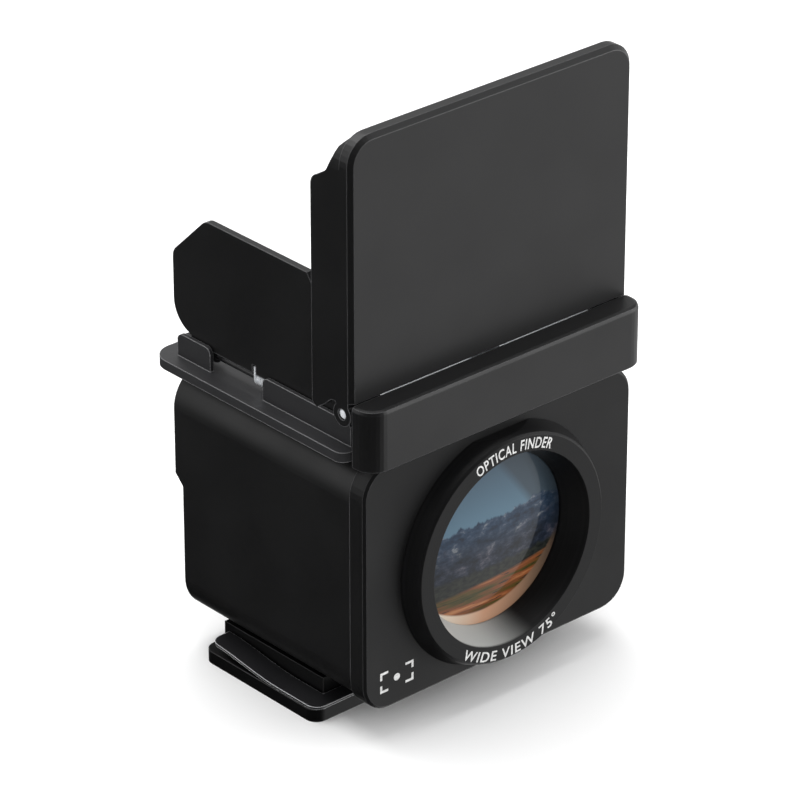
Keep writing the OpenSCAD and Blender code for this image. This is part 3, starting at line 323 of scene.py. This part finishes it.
def clearGlass(name, tint):
    # polished crown glass: colourless with a faint cool tint in patches
    material, tree, shader, place = newMaterial(name, {"Transmission Weight": 1.0, "IOR": 1.52})
    smear = addNode(tree, "ShaderNodeTexNoise", {"Scale": perMetre(6), "Detail": 3.0}, {"Vector": place})
    rough = addNode(tree, "ShaderNodeMapRange", {"From Min": 0.4, "From Max": 0.8, "To Max": 0.05},
                    {"Value": smear.outputs["Fac"]})
    tone = addNode(tree, "ShaderNodeValToRGB", {"stops": [(0.3, tint), (0.7, "#ffffff")]}, {0: smear.outputs["Fac"]})
    tree.links.new(rough.outputs["Result"], shader.inputs["Roughness"])
    tree.links.new(tone.outputs["Color"], shader.inputs["Base Color"])
    return material


def silveredGlass(name):
    # front-silvered mirror: bright and slightly cool
    material, tree, shader, place = newMaterial(name, {"Metallic": 1.0})
    haze = addNode(tree, "ShaderNodeTexNoise", {"Scale": perMetre(4), "Detail": 2.0}, {"Vector": place})
    rough = addNode(tree, "ShaderNodeMapRange",
                    {"From Min": 0.4, "From Max": 0.8, "To Min": 0.01, "To Max": 0.06}, {"Value": haze.outputs["Fac"]})
    tone = addNode(tree, "ShaderNodeValToRGB", {"stops": [(0.3, "#d7dce0"), (0.7, "#eef1f4")]},
                   {0: haze.outputs["Fac"]})
    tree.links.new(rough.outputs["Result"], shader.inputs["Roughness"])
    tree.links.new(tone.outputs["Color"], shader.inputs["Base Color"])
    return material


def whiteEnamel(name):
    # engraving filled with white enamel: soft, slightly uneven white
    material, tree, shader, place = newMaterial(name, {"Roughness": 0.55})
    grain = addNode(tree, "ShaderNodeTexNoise", {"Scale": perMetre(0.25), "Detail": 3.0}, {"Vector": place})
    tone = addNode(tree, "ShaderNodeValToRGB", {"stops": [(0.3, "#b9b9b8"), (0.7, "#dededd")]},
                   {0: grain.outputs["Fac"]})
    tree.links.new(tone.outputs["Color"], shader.inputs["Base Color"])
    return material


finishes = {key: blackMetal(look) for key, look in darkFinishes.items()}
finishes["ringBlack"] = turnedMetal(turnedRing)
finishes["steel"] = brightSteel(wireSteel)
finishes["lensGlass"] = coatedLens("coated objective glass", paintedLensView)
finishes["eyeGlass"] = clearGlass("polished crown glass", "#f2f7f8")
finishes["mirrorSilver"] = silveredGlass("front-silvered mirror")
finishes["enamel"] = whiteEnamel("white enamel")
print("finishes made:", len(finishes))


finishOf = {
    "body_shell": "housingBlack", "rear_cover": "housingBlack", "cover_screws": "screwBlack",
    "front_plate": "plateBlack", "plate_dowels": "steel", "lens_ring": "ringBlack",
    "objective_lens": "lensGlass", "lens_retainer": "insideBlack", "mirror": "mirrorSilver",
    "mirror_bracket": "insideBlack", "bracket_screws": "screwBlack", "frame_mask": "insideBlack",
    "viewing_lens": "eyeGlass", "hood_tray": "trayBlack", "tray_screws": "screwBlack",
    "brow_bar": "hoodBlack", "brow_screws": "screwBlack", "front_lid": "hoodBlack",
    "lid_rod": "steel", "lid_spring": "steel", "left_panel": "hoodBlack", "right_panel": "hoodBlack",
    "left_panel_rod": "screwBlack", "right_panel_rod": "screwBlack",
    "left_panel_spring": "steel", "right_panel_spring": "steel",
    "shoe_foot": "footBlack", "shoe_spring": "leafSteel", "shoe_screws": "screwBlack",
}
for name, finish in finishOf.items():
    slots = nodes[name].data.materials
    slots.clear()
    slots.append(finishes[finish])
print("finishes given to the frame's pieces")


def addPiece(name, points, faces, finish, body, smooth=False):
    # one mesh from arrays of points and faces, riding on a body
    mesh = bpy.data.meshes.new(name)
    mesh.from_pydata(points.tolist(), [], faces)
    mesh.materials.append(finishes[finish])
    mesh.polygons.foreach_set("use_smooth", np.full(len(mesh.polygons), smooth))
    mesh.update()
    piece = bpy.data.objects.new(name, mesh)
    bpy.context.scene.collection.objects.link(piece)
    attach(piece, body)
    return piece


# lettering round the lens ring: angles in degrees, radii and heights in mm
lettering = {
    "top": {"words": "OPTICAL FINDER", "middle": 89.3, "span": 52.5, "radius": 11.3, "inwards": False},
    "bottom": {"words": "WIDE VIEW 75°", "middle": -91, "span": 66, "radius": 12.62, "inwards": True},
    "height": 1.2,          # capitals
    "stroke": 0.012,        # how much the strokes are thickened
    "depth": 0.02,          # how far the enamel stands off the ring
}


def flatText(words):
    # outline of the words as one closed mesh lying in X and Y, as arrays of points and faces
    curve = bpy.data.curves.new("words", "FONT")
    curve.body = words
    curve.size = 1.0
    curve.extrude = 1.0
    curve.offset = lettering["stroke"]
    curve.space_character = 1.12
    curve.resolution_u = 4
    holder = bpy.data.objects.new("words", curve)
    bpy.context.scene.collection.objects.link(holder)
    bpy.context.view_layer.update()
    mesh = bpy.data.meshes.new_from_object(holder.evaluated_get(bpy.context.evaluated_depsgraph_get()))
    points = np.zeros(len(mesh.vertices) * 3)
    mesh.vertices.foreach_get("co", points)
    faces = [tuple(p.vertices) for p in mesh.polygons]
    bpy.data.objects.remove(holder)
    bpy.data.curves.remove(curve)
    bpy.data.meshes.remove(mesh)
    return points.reshape(-1, 3), faces


def arcWords(name, words, middle, span, radius, inwards):
    # baseline wrapped on a circle: the angle runs with the distance along the line, the radius with the height
    points, faces = flatText(words)
    low, high = points.min(0), points.max(0)
    along = (points[:, 0] - (low[0] + high[0]) / 2) / (high[0] - low[0])
    capital = high[1] - max(low[1], 0)
    height = points[:, 1] / capital * lettering["height"]
    turn = 1 if inwards else -1
    angle = np.radians(middle + turn * along * span)
    distance = radius + (-height if inwards else height)
    y = ringLow.y + lettering["depth"] * mm * 0.5 * (np.sign(points[:, 2]) - 1)
    placed = np.column_stack([
        lensCentre.x + distance * mm * np.cos(angle), y, lensCentre.z + distance * mm * np.sin(angle)])
    return closedOutwards(addPiece(name, placed, faces, "enamel", "housing"))


def closedOutwards(piece):
    # merges doubles and turns every face outwards
    work = bmesh.new()
    work.from_mesh(piece.data)
    bmesh.ops.remove_doubles(work, verts=work.verts, dist=1e-7)
    bmesh.ops.recalc_face_normals(work, faces=work.faces)
    work.to_mesh(piece.data)
    work.free()
    return piece


for place in ("top", "bottom"):
    arcWords("ring_lettering_" + place, **lettering[place])
print("lettering done")


# small frame mark on the front plate, in mm
plateMark = {
    "corner": (-16.6, 5.6),     # lower left corner
    "width": 4.6, "height": 2.4,
    "arm": 1.1, "line": 0.28,   # corner arms and their line width
    "dot": 0.42,                # radius of the middle dot
    "proud": 0.02,
}


def plateMarkPieces():
    # four corner brackets and a dot, each outline an L or a circle drawn by a formula and given a thickness
    x0, z0 = plateMark["corner"]
    w, h, arm, line = (plateMark[k] for k in ("width", "height", "arm", "line"))
    bracket = np.array([[0, 0], [arm, 0], [arm, line], [line, line], [line, arm * 0.8], [0, arm * 0.8]])
    angle = np.linspace(0, 2 * math.pi, 24, endpoint=False)
    dot = plateMark["dot"] * np.column_stack([np.cos(angle), np.sin(angle)])
    outlines = [bracket * [sx, sz] + [x0 + (w if sx < 0 else 0), z0 + (h if sz < 0 else 0)]
                for sx in (1, -1) for sz in (1, -1)]
    outlines.append(dot + [x0 + w / 2, z0 + h / 2])
    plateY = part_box("front_plate")[0].y
    points, faces, start = [], [], 0
    for outline in outlines:
        n = len(outline)
        for y in (plateY, plateY - plateMark["proud"] * mm):
            points.append(np.column_stack([outline[:, 0] * mm, np.full(n, y), outline[:, 1] * mm]))
        ring = start + np.arange(n)
        after = np.roll(ring, -1)
        faces += [ring.tolist(), (ring[::-1] + n).tolist()]
        faces += np.column_stack([ring, after, after + n, ring + n]).tolist()
        start += 2 * n
    return closedOutwards(addPiece("plate_frame_mark", np.vstack(points), faces, "enamel", "housing"))


plateMarkPieces()
print("plate mark done")


studio = {
    "floorSize": 6.0, "floorColour": "#fafafa",
    "azimuth": -41.789, "elevation": 27.535, "distance": 0.50524, "lens": 216.8,
    "target": (-0.000551, -0.000651, 0.028439),
    "room": 0.80,               # brightness of the white room on dull surfaces
    "rightGlow": (0.10, 0.50),  # the room's right side, seen in gloss, grows bright between these slants
    "upFade": (0.12, 0.45),     # and fades upwards
    "backGlow": (0.55, 0.85),   # its upper left rear is bright too
    "shine": 0.92,
}
softBoxes = {
    "front right soft box": {"way": (0.75, -0.62, 0.28), "distance": 0.7, "size": (0.5, 0.5), "power": 2.4},
    "overhead soft box": {"way": (0.05, 0.30, 1.0), "distance": 0.8, "size": (0.8, 0.8), "power": 6.6},
}


def paleFloor():
    half = studio["floorSize"] / 2
    mesh = bpy.data.meshes.new("floor")
    mesh.from_pydata([(-half, -half, 0), (half, -half, 0), (half, half, 0), (-half, half, 0)], [], [(0, 1, 2, 3)])
    floor = bpy.data.objects.new("floor", mesh)
    bpy.context.scene.collection.objects.link(floor)
    material, tree, shader, place = newMaterial("pale paper", {
        "Base Color": linearColour(studio["floorColour"]), "Roughness": 0.9, "Specular IOR Level": 0.1})
    mesh.materials.append(material)
    floor.visible_glossy = False
    return floor


def softLight(name, way, distance, size, power):
    # a square soft box that faces the finder
    light = bpy.data.lights.new(name, "AREA")
    light.shape = "RECTANGLE"
    light.size, light.size_y = size
    light.energy = power
    holder = bpy.data.objects.new(name, light)
    way = Vector(way).normalized()
    holder.location = Vector(studio["target"]) + way * distance
    holder.rotation_euler = (-way).to_track_quat("-Z", "Y").to_euler()
    bpy.context.scene.collection.objects.link(holder)
    return holder


def studioWorld():
    # white to the eye and to the floor; in gloss bright on the right and high at the rear, dark elsewhere
    world = bpy.data.worlds.new("white studio")
    bpy.context.scene.world = world
    world.use_nodes = True
    tree = world.node_tree
    tree.nodes.clear()
    white = linearColour("#ffffff")
    rays = addNode(tree, "ShaderNodeLightPath")
    way = addNode(tree, "ShaderNodeTexCoord").outputs["Generated"]
    right = addNode(tree, "ShaderNodeSeparateXYZ", links={0: way}).outputs["X"]
    rear = addNode(tree, "ShaderNodeVectorMath", {"operation": "DOT_PRODUCT", 1: (-0.46, 0.67, 0.58)}, {0: way})
    up = addNode(tree, "ShaderNodeSeparateXYZ", links={0: way}).outputs["Z"]
    low, high = studio["upFade"]
    fade = addNode(tree, "ShaderNodeMapRange",
                   {"From Min": low, "From Max": high, "To Min": 1.0, "To Max": 0.2}, {"Value": up})
    low, high = studio["rightGlow"]
    rightGlow = addNode(tree, "ShaderNodeMapRange",
                        {"interpolation_type": "SMOOTHSTEP", "From Min": low, "From Max": high,
                         "To Min": 0.012, "To Max": studio["shine"]}, {"Value": right})
    faded = addNode(tree, "ShaderNodeMath", {"operation": "MULTIPLY"},
                    {0: rightGlow.outputs["Result"], 1: fade.outputs["Result"]})
    low, high = studio["backGlow"]
    backGlow = addNode(tree, "ShaderNodeMapRange",
                       {"interpolation_type": "SMOOTHSTEP", "From Min": low, "From Max": high,
                        "To Min": 0.012, "To Max": studio["shine"]}, {"Value": rear.outputs["Value"]})
    glow = addNode(tree, "ShaderNodeMath", {"operation": "MAXIMUM"},
                   {0: faded.outputs["Value"], 1: backGlow.outputs["Result"]})
    shine = addNode(tree, "ShaderNodeBackground", {"Color": white}, {"Strength": glow.outputs["Value"]})
    room = addNode(tree, "ShaderNodeBackground", {"Color": white, "Strength": studio["room"]})
    seen = addNode(tree, "ShaderNodeBackground", {"Color": white, "Strength": 1.2})
    lit = addNode(tree, "ShaderNodeMixShader", links={
        0: rays.outputs["Is Glossy Ray"], 1: room.outputs[0], 2: shine.outputs[0]})
    final = addNode(tree, "ShaderNodeMixShader", links={
        0: rays.outputs["Is Camera Ray"], 1: lit.outputs[0], 2: seen.outputs[0]})
    addNode(tree, "ShaderNodeOutputWorld", links={"Surface": final.outputs[0]})


def studioCamera():
    turn, rise = math.radians(studio["azimuth"]), math.radians(studio["elevation"])
    back = Vector((math.sin(turn) * math.cos(rise), -math.cos(turn) * math.cos(rise), math.sin(rise)))
    camera = bpy.data.objects.new("camera", bpy.data.cameras.new("camera"))
    camera.data.lens = studio["lens"]
    camera.data.sensor_width = 36
    camera.data.clip_start = 0.01
    camera.location = Vector(studio["target"]) + back * studio["distance"]
    camera.rotation_euler = (-back).to_track_quat("-Z", "Y").to_euler()
    bpy.context.scene.collection.objects.link(camera)
    bpy.context.scene.camera = camera


paleFloor()
studioWorld()
for name, box in softBoxes.items():
    softLight(name, **box)
studioCamera()
bpy.context.scene.view_settings.view_transform = "Standard"
print("studio set")
